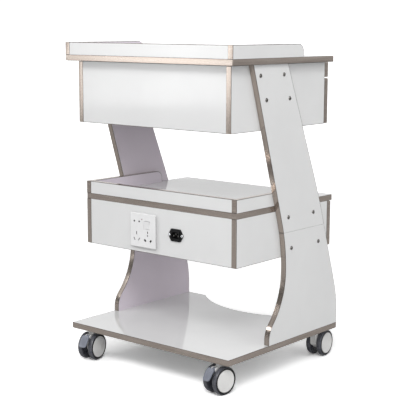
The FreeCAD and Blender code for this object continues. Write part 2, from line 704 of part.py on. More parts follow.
def caster_wheel(side):
    """One of the twin wheels: round-shouldered tyre, flat cap outside, hub bored from inside."""
    inner = WHEEL_GAP / 2
    outer = inner + WHEEL_WIDTH
    shoulder = 4.0
    soft = shoulder * (1 - math.sqrt(0.5))
    radius = WHEEL_RADIUS
    groove_x = outer - 0.8          # bottom of the groove round the cap
    cap_x = outer + 0.7             # face of the cap

    def at(x, r):
        return vec(side * x, CASTER_TRAIL, WHEEL_RADIUS + r)

    edges = [
        Part.LineSegment(at(inner, 0), at(inner, radius - shoulder)).toShape(),
        Part.Arc(at(inner, radius - shoulder), at(inner + soft, radius - soft),
                 at(inner + shoulder, radius)).toShape(),
        Part.LineSegment(at(inner + shoulder, radius), at(outer - shoulder, radius)).toShape(),
        Part.Arc(at(outer - shoulder, radius), at(outer - soft, radius - soft),
                 at(outer, radius - shoulder)).toShape(),
        Part.LineSegment(at(outer, radius - shoulder), at(groove_x, CAP_RADIUS + 0.6)).toShape(),
        Part.LineSegment(at(groove_x, CAP_RADIUS + 0.6), at(groove_x, CAP_RADIUS)).toShape(),
        Part.LineSegment(at(groove_x, CAP_RADIUS), at(cap_x, CAP_RADIUS - 1.5)).toShape(),
        Part.LineSegment(at(cap_x, CAP_RADIUS - 1.5), at(cap_x, 0)).toShape(),
        Part.LineSegment(at(cap_x, 0), at(inner, 0)).toShape(),
    ]
    wheel = Part.Face(Part.Wire(edges)).revolve(at(0, 0), vec(1, 0, 0), 360)
    bore = rod(AXLE_RADIUS + FIT, at(inner - 1, 0), vec(side, 0, 0), BORE_DEPTH + 1)
    return wheel.cut(bore)


def brake_pedal():
    """Foot pedal: a hub on the body's pin, a neck between the wheels and a rounded sloping tread."""
    ear_y, ear_z = PEDAL_PIVOT
    hub = rod(4.6, vec(-5.0, ear_y, ear_z), vec(1, 0, 0), 10.0)
    neck = prism(((ear_y - 3, ear_z + 2, 0), (ear_y + 2, ear_z - 4.5, 0),
                  (ear_y + 19.5, ear_z - 6, 0), (ear_y + 14.8, ear_z + 1.2, 0)),
                 on_side(-5.0), vec(10.0, 0, 0))
    top = vec(0, ear_y + PEDAL_TOP[0], ear_z + PEDAL_TOP[1])
    foot = vec(0, ear_y + PEDAL_FOOT[0], ear_z + PEDAL_FOOT[1])
    slope = (foot - top).normalize()
    length = (foot - top).Length
    half = PEDAL_WIDTH / 2
    tread = prism(((-half, 0, PEDAL_CORNER), (half, 0, PEDAL_CORNER),
                   (half, length, PEDAL_CORNER), (-half, length, PEDAL_CORNER)),
                  lambda x, run: vec(x, 0, 0) + top + slope * run,
                  vec(0, -slope.z, slope.y) * PEDAL_THICK)
    pedal = hub.fuse(neck).fuse(tread).removeSplitter()
    return pedal.cut(rod(1.5 + FIT, vec(-6, ear_y, ear_z), vec(1, 0, 0), 12))


# ------------------------------------------------------------------ assembly
def write_structure():
    base, base_band = base_board()
    screws = base_screws()
    stems = [caster_stem(x, y) for name, x, y, heading, brake in CASTERS]
    for cutter in screws + stems:
        base = base.cut(cutter)
    write("base_board", [base])
    write("base_screws", screws)
    write("caster_stems", stems)

    bolts = side_bolts()
    write("side_bolts", bolts)
    panel_bands = []
    for side, label in ((-1, "left"), (1, "right")):
        upper, lower, bands = side_panels(side)
        panel_bands += bands
        for bolt in bolts:
            upper = upper.cut(bolt)
            lower = lower.cut(bolt)
        for screw in screws:
            lower = lower.cut(screw)
        write("upper_side_" + label, [upper])
        write("lower_side_" + label, [lower])

    top_board, top_band = tray_board(TOP_WIDTH, TOP_DEPTH, REAR_Y, TOP_TOP)
    middle_board, middle_band = tray_board(CASE_WIDTH, MIDDLE_DEPTH, MIDDLE_CASE_REAR, MIDDLE_TOP)
    write("top_board", [top_board])
    write("middle_board", [middle_board])

    board_bands = [base_band, top_band, middle_band]
    tiers = (("top", TOP_WIDTH / 2, REAR_Y, TOP_TOP),
             ("middle", CASE_WIDTH / 2, MIDDLE_CASE_REAR, MIDDLE_TOP))
    for label, half_width, rear, board_top in tiers:
        rails, rear_rail, bands = gallery(half_width, rear, board_top)
        board_bands += bands
        write(label + "_gallery_side_rails", rails)
        write(label + "_gallery_rear_rail", [rear_rail])

    cases = (("top", TOP_CASE_FRONT, TOP_CASE_REAR, TOP_CASE_FLOOR, TOP_TOP - BOARD, SHADOW_GAP),
             ("middle", MIDDLE_CASE_FRONT, MIDDLE_CASE_REAR, MIDDLE_CASE_FLOOR, MIDDLE_TOP - BOARD, 0))
    for label, front, rear, low, high, gap in cases:
        for side, hand in ((-1, "left"), (1, "right")):
            core, bands = case_side(side, front, rear, low, high, gap)
            panel_bands += bands
            for bolt in bolts:
                core = core.cut(bolt)
            write(label + "_case_" + hand + "_side", [core])
        panel, lower_band = case_rear(rear, low, high, gap)
        panel_bands.append(lower_band)
        if label == "middle":
            panel = inlet_screw_holes(power_panel(panel))
        write(label + "_case_rear_panel", [panel])
        write(label + "_case_floor", [case_floor(front, rear, low)])
    write("board_edging", board_bands)
    write("panel_edging", panel_bands)


def write_drawers():
    all_case_members = []
    for name, case_front, front_z, box_z, depth, slide_height in DRAWERS:
        front, front_band = drawer_front(case_front, front_z[0], front_z[1])
        write(name + "_front", [front])
        write(name + "_front_edging", [front_band])
        write(name + "_box", drawer_box(case_front, box_z[0], box_z[1], depth))
        write(name + "_handle", [handle(case_front, front_z[0], front_z[1])])
        case_members, drawer_members = slides(case_front, box_z[0], box_z[1], depth, slide_height)
        all_case_members += case_members
        write(name + "_slide_members", drawer_members)
    write("case_slide_members", all_case_members)


def write_power():
    write("socket_plate", [socket_plate()])
    write("socket_rocker", [socket_rocker()])
    write("socket_back_box", [socket_back_box()])
    write("power_inlet", power_inlet())
    write("inlet_screws", inlet_screws())
    write("mains_lead", [mains_lead()])


def write_casters():
    for name, x, y, heading, brake in CASTERS:
        body = [to_heading(shape, x, y, heading) for shape in caster_body(brake)]
        write(name + "_caster_body", body)
        for side, label in ((-1, "a"), (1, "b")):
            wheel = to_heading(caster_wheel(side), x, y, heading)
            write(name + "_caster_wheel_" + label, [wheel])
        if brake:
            write(name + "_caster_pedal", [to_heading(brake_pedal(), x, y, heading)])


os.makedirs("parts", exist_ok=True)
write_structure()
write_drawers()
write_power()
write_casters()
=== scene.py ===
import json
import math

import bmesh
import bpy
from mathutils import Matrix, Vector

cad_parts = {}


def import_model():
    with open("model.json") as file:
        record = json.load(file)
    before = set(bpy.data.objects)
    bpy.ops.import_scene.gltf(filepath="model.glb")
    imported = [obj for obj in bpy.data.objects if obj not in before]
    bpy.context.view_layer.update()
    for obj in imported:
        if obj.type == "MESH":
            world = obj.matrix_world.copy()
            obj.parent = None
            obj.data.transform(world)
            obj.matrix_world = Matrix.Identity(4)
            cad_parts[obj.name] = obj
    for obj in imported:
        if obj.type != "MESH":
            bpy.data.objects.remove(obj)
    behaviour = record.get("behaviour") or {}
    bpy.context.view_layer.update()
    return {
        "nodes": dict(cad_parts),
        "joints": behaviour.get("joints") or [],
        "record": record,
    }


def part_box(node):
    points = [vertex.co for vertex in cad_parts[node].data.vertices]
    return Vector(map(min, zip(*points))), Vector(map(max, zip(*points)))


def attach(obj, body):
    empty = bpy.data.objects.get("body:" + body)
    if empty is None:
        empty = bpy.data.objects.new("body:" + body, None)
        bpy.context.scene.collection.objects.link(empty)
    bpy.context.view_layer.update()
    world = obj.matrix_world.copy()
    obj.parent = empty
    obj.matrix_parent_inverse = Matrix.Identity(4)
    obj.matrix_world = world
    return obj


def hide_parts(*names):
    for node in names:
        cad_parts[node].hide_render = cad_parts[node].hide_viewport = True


# A rolling salon trolley: laminated boards with champagne edging, two cases with drawers, a mains
# socket with its inlet, and four twin-wheel casters. Every piece is built on its CAD node, in metres,
# with +Z up, the drawers at -Y and the socket at +Y.

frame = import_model()
nodes = frame["nodes"]
joints = {j["name"]: j for j in frame["joints"]}
body_of_node = {n: b for b, ns in frame["record"]["behaviour"]["bodies"].items() for n in ns}
slot_of_node = {s["node"]: s["material_slot"] for s in frame["record"]["subparts"]}

MM = 0.001
WELD = 0.004 * MM               # CAD vertices this close are one vertex
FLAT = 0.6                      # degrees between CAD faces that count as one flat face
SMOOTH = 32.0                   # degrees above which an edge stays sharp in the shading
QUARTER = math.radians(90)

# ---- boards and drawers
GLUE_AND_SHADE_LINE = 0.7 * MM            # width of the dark line along the edging's borders, which is glue and painted shade of the joint
TOP_GROOVE = 1.9 * MM           # height of the groove round the top case, under its tray board, whose faces are painted dark as its shade
HANDLE_HALF_PITCH = 64 * MM
DRAWER_BOARD = 12.0 * MM        # thickness of the drawer box's boards
# pan heads of the handles' screws, in mm, and their profile as shares of the height and the radius
SCREW_RADIUS, SCREW_HEIGHT = 4.2, 2.0
PAN_HEAD = ((0.0, 1.0), (0.35, 1.0), (0.75, 0.86), (1.0, 0.45), (1.0, 0.0))
DRAWERS = ("upper_drawer", "lower_drawer", "middle_drawer")

# ---- side bolts: distance out of the panel and radius, in mm, from the rim to the socket's edge
BOLT_DOME = ((0.0, 5.0), (0.35, 5.0), (0.8, 4.85), (1.4, 4.3), (1.95, 3.45), (2.35, 2.6), (2.5, 2.15),
             (2.42, 1.75))
BOLT_STEPS = 24
HEXAGON_RADIUS = 1.5 * MM       # of the socket, to its corners
HEXAGON_FLOOR = 0.9 * MM        # floor of the socket, out of the panel

# ---- socket plate: places from its middle, in mm; hollows behind its outlets as place and size
PLATE_HOLLOWS = ((21.0, 22.0, 28.0, 12.0), (20.8, -15.5, 26.0, 27.0), (-17.2, -16.0, 30.0, 30.0))
SLOT_DEPTH = 1.6 * MM           # the slots' walls, painted dark as shade, lie within this depth of the plate's front
SIDE_DEPTH = 0.2 * MM           # faces this close to the plate's left and right ends are its sides, painted greyer as shade
CONTACT_GAP = 1.0               # between a contact block and its hollow, over both sides
CONTACT_BACK, CONTACT_THICK = 6.0 * MM, 3.8 * MM
SHUTTERS = ((21.2, -8.0, 0), (13.1, -23.5, -30), (28.9, -23.5, 30))     # x, z, turn in degrees
SHUTTER_SIZE = (3.0 * MM, 8.6 * MM)
SHUTTER_BACK, SHUTTER_THICK = 2.6 * MM, 0.8 * MM
LAMP_AT, LAMP_BACK = (3.2, 27.7), 3.0 * MM
LAMP_PROFILE = ((0, 0), (0, 1.5), (2.6, 1.5), (3.0, 1.2), (3.2, 0.6), (3.25, 0))

# ---- inlet
PIN_WIDTH = 4 * MM              # anything narrower in the inlet is a pin
# screw heads: distance out of the flange and radius, in mm
INLET_SCREW_RADIUS = 3.7
INLET_SCREW_SEAT = 2.3 * MM     # the head's base, back from its top
INLET_SCREW_PROFILE = ((0, INLET_SCREW_RADIUS), (0.5, INLET_SCREW_RADIUS), (1.3, 3.2), (1.9, 2.2),
                       (2.15, 1.2), (1.4, 0.9), (1.2, 0))

# ---- casters: distance from the caster's middle along the axle and radius, in mm
TREAD = ((8.5, 9.0), (8.5, 26.0), (9.1, 27.0), (9.1, 29.8), (8.6, 30.6), (8.9, 32.2), (9.9, 33.5),
         (11.3, 34.3), (12.5, 34.5), (13.6, 34.5), (13.85, 34.15), (14.25, 34.15), (14.5, 34.5),
         (17.0, 34.5), (17.25, 34.15), (17.65, 34.15), (17.9, 34.5), (19.0, 34.5), (20.2, 34.3),
         (21.6, 33.5), (22.6, 32.2), (22.95, 30.8), (22.9, 29.4), (22.3, 28.6), (22.2, 28.0),
         (22.0, 27.9), (20.0, 27.8), (20.0, 0.0))
CAP = ((20.4, 27.4), (22.3, 27.45), (22.9, 27.2), (23.3, 26.6), (23.45, 25.8), (23.4, 24.6), (23.05, 24.2),
       (23.0, 23.2), (23.25, 22.8), (23.5, 20.0), (23.65, 12.0), (23.66, 7.4), (23.4, 7.0), (23.4, 6.4),
       (23.68, 6.0), (23.7, 2.6), (23.35, 1.9), (23.3, 0.0))
WHEEL_STEPS = 96
WALL_FROM = 22.0                # the tread's outer wall beyond this is painted near-black as the shade round the cap
ROLLING_RADIUS, SHOULDER_RADIUS = 34.2, 33.0    # lighter beyond the first and half as light beyond the second: scuffs and painted sheen on the crown
SPOKES = 6                      # ribs on the wheel's inner face
SPOKE_START = (8.45 * MM, 9.5 * MM)             # along the axle, from the axle
SPOKE_SECTION = ((0.0, -1.0 * MM), (0.5 * MM, -1.2 * MM), (0.5 * MM, 1.2 * MM), (0.0, 1.0 * MM))
SPOKE_LENGTH = 16 * MM

# ---- brake pedals: the tread's outer face from the pivot, (0, back, up) in mm
PEDAL_START, PEDAL_END = Vector((0, 13.1, 6.3)), Vector((0, 32.1, -20.7))
PEDAL_RIBS = 5
PEDAL_RIB_FIRST, PEDAL_RIB_PITCH = 7.0, 5.0     # down the tread
PEDAL_RIB_SINK = 0.15                           # into the tread
PEDAL_RIB_SIZE = (15.0 * MM, 1.6 * MM)
PEDAL_RIB_CORNER, PEDAL_RIB_THICK = 0.7 * MM, 0.75 * MM
REAR_CASTERS = ("rear_left", "rear_right")
CASTERS = REAR_CASTERS + ("front_left", "front_right")

# ---- studio
SKY = 0.08                      # light from every direction
# soft glows: azimuth from +X, elevation, strength, and the cosines where the glow starts and is full
GLOWS = ((120, 10, 1.25, 0.60, 0.97), (200, 15, 0.75, 0.60, 0.97), (-50, 0, 0.85, 0.65, 0.98),
         (60, 60, 1.09, 0.80, 0.97), (-100, 25, 0.50, 0.60, 0.97), (0, 20, 0.40, 0.60, 0.97))
BACKDROP_SEEN = 1.1             # brightness of the backdrop as the lens sees it
FLOOR_SEEN = 1.5                # grey of the floor as the lens sees it
FLOOR_BOUNCE = 0.55             # grey of the floor as it bounces light on to the trolley
FAR_GLOW = 0.4                  # brightness added to the far floor as the lens sees it
FAR_FROM, FAR_TO = 2.0, 6.0     # metres from the trolley over which that glow grows
FLOOR_HALF_SIDE = 60            # metres
# name, place, target, size, power, spread in degrees
LIGHTS = (
    ("over_lens", (-1.97, 2.35, 2.67), (0.0, 0.0, 0.4), (1.1, 1.1), 58.0, 180.0),
    ("left", (-3.2, -0.6, 2.0), (0.0, 0.0, 0.4), (1.8, 1.8), 12.5, 180.0),
    ("right_low", (2.60, 3.17, 0.74), (-0.02, 0.2, 0.82), (1.3, 0.7), 0.135, 20.0),
    ("right_high", (2.85, 2.95, 2.75), (0.0, 0.0, 0.5), (0.6, 0.6), 6.5, 120.0),
    ("right_top", (2.58, 3.19, 3.5), (0.0, 0.0, 0.5), (1.2, 0.8), 6.0, 120.0),
)

# ---- camera
CAMERA_AT = (-1.8351, 2.17885, 0.8731)
CAMERA_TURN = (219.97, 9.43, 0.17)      # azimuth from -Y, elevation and roll, in degrees
LENS, SENSOR_WIDTH = 96.0, 36.0
CLIP = (0.05, 200.0)


# ---------------------------------------------------------------- node helpers
class Nodes:
    """Short ways to add nodes to a node tree."""

    def __init__(self, node_tree):
        self.tree = node_tree

    def new(self, kind):
        return self.tree.nodes.new("ShaderNode" + kind)

    def put(self, socket, value):
        """Links an output to the socket, or gives it a plain value."""
        if hasattr(value, "is_output"):
            self.tree.links.new(value, socket)
        elif isinstance(value, tuple) and len(value) == 3 and socket.type == "RGBA":
            socket.default_value = (*value, 1.0)
        else:
            socket.default_value = value

    def coords(self, kind="Object"):
        return self.new("TexCoord").outputs[kind]

    def scaled(self, vector, sx, sy, sz):
        node = self.new("VectorMath")
        node.operation = "MULTIPLY"
        self.put(node.inputs[0], vector)
        node.inputs[1].default_value = (sx, sy, sz)
        return node.outputs["Vector"]

    def noise(self, vector, scale, detail=3.0, rough=0.5, distortion=0.0):
        node = self.new("TexNoise")
        self.put(node.inputs["Vector"], vector)
        node.inputs["Scale"].default_value = scale
        node.inputs["Detail"].default_value = detail
        node.inputs["Roughness"].default_value = rough
        node.inputs["Distortion"].default_value = distortion
        return node.outputs["Fac"]

    def span(self, value, low, high, to_low=0.0, to_high=1.0, shape="LINEAR"):
        """Maps low..high to to_low..to_high."""
        node = self.new("MapRange")
        node.interpolation_type = shape
        self.put(node.inputs["Value"], value)
        ends = {"From Min": low, "From Max": high, "To Min": to_low, "To Max": to_high}
        for key, end in ends.items():
            self.put(node.inputs[key], end)
        return node.outputs["Result"]

    def mix(self, share, a, b):
        """Colour a, with that share of colour b."""
        node = self.new("Mix")
        node.data_type = "RGBA"
        self.put(node.inputs[0], share)
        self.put(node.inputs[6], a)
        self.put(node.inputs[7], b)
        return node.outputs[2]

    def math(self, operation, a, b=0.0):
        node = self.new("Math")
        node.operation = operation
        self.put(node.inputs[0], a)
        self.put(node.inputs[1], b)
        return node.outputs[0]

    def layer(self, name):
        """The mesh's own layer of that name, such as wear."""
        node = self.new("Attribute")
        node.attribute_name = name
        return node.outputs["Fac"]


class Material(Nodes):
    """A material with one principled shader."""

    def __init__(self, name):
        self.made = bpy.data.materials.new(name)
        self.made.use_nodes = True
        super().__init__(self.made.node_tree)
        self.tree.nodes.clear()
        out = self.new("OutputMaterial")
        self.shader = self.new("BsdfPrincipled")
        self.tree.links.new(self.shader.outputs["BSDF"], out.inputs["Surface"])

    def set(self, **values):
        for key, value in values.items():
            self.put(self.shader.inputs[key.replace("_", " ")], value)

    def bump(self, height, strength, distance):
        """Adds the bump, which is the last step, and returns the finished material."""
        node = self.new("Bump")
        node.inputs["Strength"].default_value = strength
        node.inputs["Distance"].default_value = distance
        self.put(node.inputs["Height"], height)
        self.put(self.shader.inputs["Normal"], node.outputs["Normal"])
        return self.made


# ---------------------------------------------------------------- materials
def laminate(name, low, high):
    """Glossy laminate: faint cloudiness, a light orange peel and duller worn arrises."""
    t = Material(name)
    here = t.coords()
    cloud = t.noise(here, 5.0, 3.0, 0.6)
    wear = t.layer("wear")
    base = t.mix(t.span(cloud, 0.35, 0.65), low, high)
    worn = t.mix(t.math("MULTIPLY", wear, 0.55), base, (0.50, 0.49, 0.48))
    smudge = t.noise(t.scaled(here, 1.0, 1.0, 2.2), 9.0, 5.0, 0.65, 0.8)
    gloss = t.span(smudge, 0.35, 0.75, 0.055, 0.12)
    t.set(Base_Color=worn, Roughness=t.math("ADD", gloss, t.math("MULTIPLY", wear, 0.25)),
          IOR=1.5, Specular_IOR_Level=0.5)
    peel = t.noise(here, 420.0, 2.0, 0.5)
    wave = t.noise(here, 14.0, 2.0, 0.5)
    return t.bump(t.math("ADD", t.math("MULTIPLY", peel, 0.10), wave), 0.10, 0.4 * MM)


def edging():
    """Champagne metallic edging with fine lines along the strip."""
    t = Material("champagne_edging")
    uv = t.new("UVMap")
    uv.uv_map = "strip"
    strip = uv.outputs["UV"]
    lines = t.noise(t.scaled(strip, 6.0, 1100.0, 1.0), 1.0, 3.0, 0.6)
    broad = t.noise(t.scaled(strip, 9.0, 200.0, 1.0), 1.0, 2.0, 0.6)
    patch = t.noise(t.coords(), 16.0, 3.0, 0.6)
    grain = t.math("ADD", t.math("MULTIPLY", lines, 0.6), t.math("MULTIPLY", broad, 0.4))
    base = t.mix(t.span(grain, 0.36, 0.66), (0.335, 0.286, 0.250), (0.515, 0.455, 0.410))
    base = t.mix(t.span(patch, 0.35, 0.7, 0.0, 0.25), base, (0.40, 0.330, 0.290))
    t.set(Base_Color=base, Metallic=0.85, Roughness=t.span(grain, 0.3, 0.7, 0.15, 0.25),
          IOR=1.5, Anisotropic=0.3)
    return t.bump(grain, 0.22, 0.12 * MM)


def plastic(name, low, high, rough, grain=1040.0, strength=0.12, worn=None, coat=0.0, shine=0.5):
    """Moulded plastic: cloudy between two colours, with a fine grain and worn arrises."""
    t = Material(name)
    here = t.coords()
    cloud = t.noise(here, 22.0, 4.0, 0.6)
    base = t.mix(t.span(cloud, 0.35, 0.65), low, high)
    worn = worn or tuple(min(1.0, 1.35 * c + 0.03) for c in high)
    base = t.mix(t.math("MULTIPLY", t.layer("wear"), 0.5), base, worn)
    grime = t.noise(here, 60.0, 5.0, 0.65)
    t.set(Base_Color=base, Roughness=t.span(grime, 0.3, 0.7, rough - 0.06, rough + 0.09),
          IOR=1.5, Specular_IOR_Level=shine, Coat_Weight=coat, Coat_Roughness=0.08)
    return t.bump(t.noise(here, grain, 2.0, 0.5), strength, 0.1 * MM)


def metal(name, colour, rough, streak=(1.0, 1.0, 1.0), strength=0.12, spots=0.0):
    """Plated or polished metal: faint streaks, brighter worn arrises and, if wanted, dark specks."""
    t = Material(name)
    here = t.coords()
    lines = t.noise(t.scaled(here, *streak), 30.0, 4.0, 0.6)
    base = t.mix(t.span(lines, 0.3, 0.7), tuple(c * 0.82 for c in colour), colour)
    worn = tuple(min(1.0, c * 1.3 + 0.04) for c in colour)
    base = t.mix(t.math("MULTIPLY", t.layer("wear"), 0.5), base, worn)
    if spots:
        speck = t.noise(here, 700.0, 3.0, 0.6)
        base = t.mix(t.span(speck, 0.58, 0.72, 0.0, spots), base, tuple(c * 0.5 for c in colour))
    t.set(Base_Color=base, Metallic=1.0, Roughness=t.span(lines, 0.3, 0.7, rough * 0.75, rough * 1.3))
    return t.bump(lines, strength, 0.06 * MM)


def tread_rubber():
    """Dark blue-grey polyurethane tread with dust, and a lighter rolling face that is scuffs and painted
    sheen.
    """
    t = Material("dark_tyre")
    here = t.coords()
    dust = t.noise(here, 70.0, 6.0, 0.7)
    base = t.mix(t.span(dust, 0.35, 0.75), (0.030, 0.031, 0.040), (0.060, 0.062, 0.076))
    # the lighter rolling face is scuffs and painted sheen
    scuffed = t.math("MULTIPLY", t.layer("scuff_and_sheen"), t.span(dust, 0.3, 0.6, 0.35, 0.8))
    t.set(Base_Color=t.mix(scuffed, base, (0.105, 0.108, 0.125)),
          Roughness=t.span(dust, 0.3, 0.7, 0.20, 0.34), IOR=1.5)
    return t.bump(t.noise(here, 900.0, 3.0, 0.6), 0.2, 0.15 * MM)


MATERIAL = {
    "white_laminate": laminate("white_laminate", (0.685, 0.687, 0.688), (0.715, 0.717, 0.717)),
    # darker mauve copy of the laminate for the inward faces of the side panels and rails: painted shade
    "inner_laminate": laminate("inner_laminate", (0.650, 0.588, 0.655), (0.680, 0.618, 0.685)),
    "champagne_edging": edging(),
    # dark line colour: glue and painted shade along the edging's joints, and painted shade in the top case's
    # groove
    "glue_line": plastic("glue_line", (0.030, 0.026, 0.023), (0.050, 0.042, 0.037), 0.45),
    "drawer_board": plastic("drawer_board", (0.70, 0.70, 0.69), (0.75, 0.75, 0.74), 0.36, 360.0, 0.10),
    "chrome_handle": metal("chrome_handle", (0.78, 0.78, 0.80), 0.07, strength=0.03),
    "dark_steel": metal("dark_steel", (0.21, 0.20, 0.19), 0.16, strength=0.1, spots=0.3),
    "zinc_steel": metal("zinc_steel", (0.60, 0.61, 0.63), 0.30, streak=(4, 0.4, 4), spots=0.25),
    "nickel": metal("nickel_screw", (0.74, 0.76, 0.78), 0.18, strength=0.08),
    "pin": metal("dull_pin", (0.30, 0.29, 0.28), 0.32, strength=0.08),
    "white_plastic": plastic("white_plastic", (0.75, 0.75, 0.755), (0.79, 0.79, 0.795), 0.20, 600.0, 0.04,
                             worn=(0.62, 0.62, 0.62), coat=0.15),
    # greyer copy of the plate's white plastic for its sides: painted shade
    "plate_side_painted_shade": plastic("plate_side_painted_shade", (0.38, 0.38, 0.385), (0.42, 0.42, 0.425), 0.25, 600.0, 0.04),
    "shutter": plastic("grey_shutter", (0.20, 0.20, 0.20), (0.26, 0.26, 0.26), 0.45),
    "black_plastic": plastic("black_plastic", (0.007, 0.007, 0.008), (0.012, 0.012, 0.013), 0.42, 1280.0,
                             0.25, worn=(0.03, 0.03, 0.03), shine=0.2),
    # near-black for the slots' walls, their rims and the contact blocks behind them: painted shade
    "hole_painted_shade": plastic("hole_painted_shade", (0.006, 0.006, 0.006), (0.010, 0.010, 0.010), 0.6, shine=0.1),
    "lead_sheath": plastic("lead_sheath", (0.018, 0.018, 0.019), (0.028, 0.028, 0.030), 0.5),
    "grey_plastic": plastic("grey_plastic", (0.68, 0.675, 0.665), (0.74, 0.735, 0.725), 0.34, 800.0, 0.14,
                            worn=(0.82, 0.81, 0.80)),
    "dark_tyre": tread_rubber(),
    # near-black copy of the tread rubber for its outer wall: painted shade round the cap
    "tyre_wall_painted_shade": plastic("tyre_wall_painted_shade", (0.004, 0.004, 0.005), (0.008, 0.008, 0.009), 0.34, 800.0, 0.1,
                         worn=(0.02, 0.02, 0.02), shine=0.35),
    "pedal_plastic": plastic("pedal_plastic", (0.140, 0.152, 0.190), (0.195, 0.210, 0.255), 0.40, 880.0, 0.3,
                             worn=(0.34, 0.36, 0.42)),
    "red_lamp": plastic("red_lamp", (0.13, 0.008, 0.022), (0.18, 0.012, 0.030), 0.25, 400.0, 0.02),
}


# ---------------------------------------------------------------- mesh helpers
def smooth_by_angle(bm, degrees):
    """Shades smooth everywhere, apart from edges that turn by more than the angle."""
    limit = math.radians(degrees)
    for face in bm.faces:
        face.smooth = True
    for edge in bm.edges:
        edge.smooth = not (len(edge.link_faces) == 2 and edge.calc_face_angle(0.0) > limit)


def new_object(name, bm, materials, body, slot, replaced=(), degrees=SMOOTH):
    """Makes the piece, which rides on the body and stands for the replaced CAD nodes."""
    smooth_by_angle(bm, degrees)
    data = bpy.data.meshes.new(name)
    bm.to_mesh(data)
    bm.free()
    for material in materials:
        data.materials.append(MATERIAL[material])
    piece = bpy.data.objects.new(name, data)
    bpy.context.scene.collection.objects.link(piece)
    weighted = piece.modifiers.new("weighted", "WEIGHTED_NORMAL")
    weighted.keep_sharp = True
    weighted.weight = 60
    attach(piece, body)
    if replaced:
        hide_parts(*replaced)


def weld_key(vertex):
    """The vertex's place on a grid as fine as the weld."""
    return tuple(round(c / WELD) for c in vertex.co)


def closed_shells(mesh):
    """The CAD node's triangles, which come solid by solid, split wherever a solid closes."""
    keys = [weld_key(v) for v in mesh.vertices]
    shells, shell, open_edges = [], [], set()
    for polygon in mesh.polygons:
        corners = [keys[i] for i in polygon.vertices]
        for a, b in zip(corners, corners[1:] + corners[:1]):
            open_edges ^= {frozenset((a, b))}
        shell.append(polygon)
        if not open_edges:
            shells.append(shell)
            shell = []
    return shells + [shell] if shell else shells


def cad_mesh(node):
    """The CAD node's faces, each solid welded by itself, with flat areas merged."""
    mesh = nodes[node].data
    bm = bmesh.new()
    for shell in closed_shells(mesh):
        made = {}
        for polygon in shell:
            corners = []
            for i in polygon.vertices:
                key = weld_key(mesh.vertices[i])
                if key not in made:
                    made[key] = bm.verts.new(mesh.vertices[i].co)
                corners.append(made[key])
            if len(set(corners)) == len(corners):
                bm.faces.new(corners)
    bmesh.ops.dissolve_limit(bm, angle_limit=math.radians(FLAT), verts=bm.verts, edges=bm.edges)
    return bm


def bevel(bm, width, angle=28.0, segments=2):
    """Rounds the sharp edges, marks the middle of each rounding as worn and returns the new faces."""
    wear = bm.verts.layers.float.new("wear")
    limit = math.radians(angle)
    edges = [e for e in bm.edges if len(e.link_faces) == 2 and e.calc_face_angle(0.0) > limit]
    made = bmesh.ops.bevel(bm, geom=edges, offset=width, offset_type="OFFSET", segments=segments,
                           profile=0.5, affect="EDGES", clamp_overlap=True)
    fresh = set(made["faces"])
    for v in made["verts"]:
        if v.is_valid and all(f in fresh for f in v.link_faces):
            v[wear] = 1.0
    return fresh


def outward(bm):
    """Turns every face's normal outward."""
    bmesh.ops.recalc_face_normals(bm, faces=bm.faces)


def lathe(bm, profile, matrix, steps=24, material_of=None):
    """Revolves (distance along X, radius) points, in mm, about local X, and returns the rings."""
    rings = []
    for x, r in profile:
        turns = [2 * math.pi * k / steps for k in range(steps)] if r else [0.0]
        ring = [Vector((x * MM, r * MM * math.cos(a), r * MM * math.sin(a))) for a in turns]
        rings.append([bm.verts.new(matrix @ point) for point in ring])
    for i, (a, b) in enumerate(zip(rings, rings[1:])):
        for k in range(steps):
            j = (k + 1) % steps
            if len(a) == 1:
                face = bm.faces.new((a[0], b[k], b[j]))
            elif len(b) == 1:
                face = bm.faces.new((a[k], b[0], a[j]))
            else:
                face = bm.faces.new((a[k], b[k], b[j], a[j]))
            if material_of:
                face.material_index = material_of(i)
    return rings


def prism(bm, outline, matrix, depth, taper=0.0):
    """A solid from a closed outline in local XZ, from y=0 to y=depth, where it is smaller by the taper."""
    cx = sum(x for x, z in outline) / len(outline)
    cz = sum(z for x, z in outline) / len(outline)
    scale = 1.0 - taper
    low = [bm.verts.new(matrix @ Vector((x, 0, z))) for x, z in outline]
    high = [bm.verts.new(matrix @ Vector((cx + (x - cx) * scale, depth, cz + (z - cz) * scale)))
            for x, z in outline]
    faces = [bm.faces.new(low[::-1]), bm.faces.new(high)]
    for i in range(len(outline)):
        j = (i + 1) % len(outline)
        faces.append(bm.faces.new((low[i], low[j], high[j], high[i])))
    bmesh.ops.recalc_face_normals(bm, faces=faces)


def rounded_rect(width, height, radius, steps=6):
    """Outline of a rectangle with round corners, centred on the origin."""
    x, z = width / 2 - radius, height / 2 - radius
    points = []
    for cx, cz, start in ((x, z, 0), (-x, z, 90), (-x, -z, 180), (x, -z, 270)):
        for k in range(steps + 1):
            a = math.radians(start + 90 * k / steps)
            points.append((cx + radius * math.cos(a), cz + radius * math.sin(a)))
    return points


# ---------------------------------------------------------------- boards, edging, cases, drawers
def refined(node, width, angle=28.0, segments=2, inner=False, groove=0.0):
    """Shows a CAD node with rounded arrises; its inward faces can take a darker mauve laminate that paints
    their shade, and the band along its top a dark colour that paints the shade of the groove there.
    """
    bm = cad_mesh(node)
    slot = slot_of_node[node]
    top = max(v.co.z for v in bm.verts)
    for face in bm.faces:
        centre = face.calc_center_median()
        # inward faces take the darker mauve laminate, which paints their shade
        if inner and face.normal.x * centre.x < -0.5 * abs(centre.x):
            face.material_index = 1
        # faces within the groove's height at the top take the dark line colour: painted shade of the groove
        if all(v.co.z > top - groove for v in face.verts):
            face.material_index = 2
    bevel(bm, width, angle, segments)
    materials = [slot]
    if inner or groove:
        materials += ["inner_laminate", "glue_line"]
    new_object(node + "_shown", bm, materials, body_of_node[node], slot, [node])


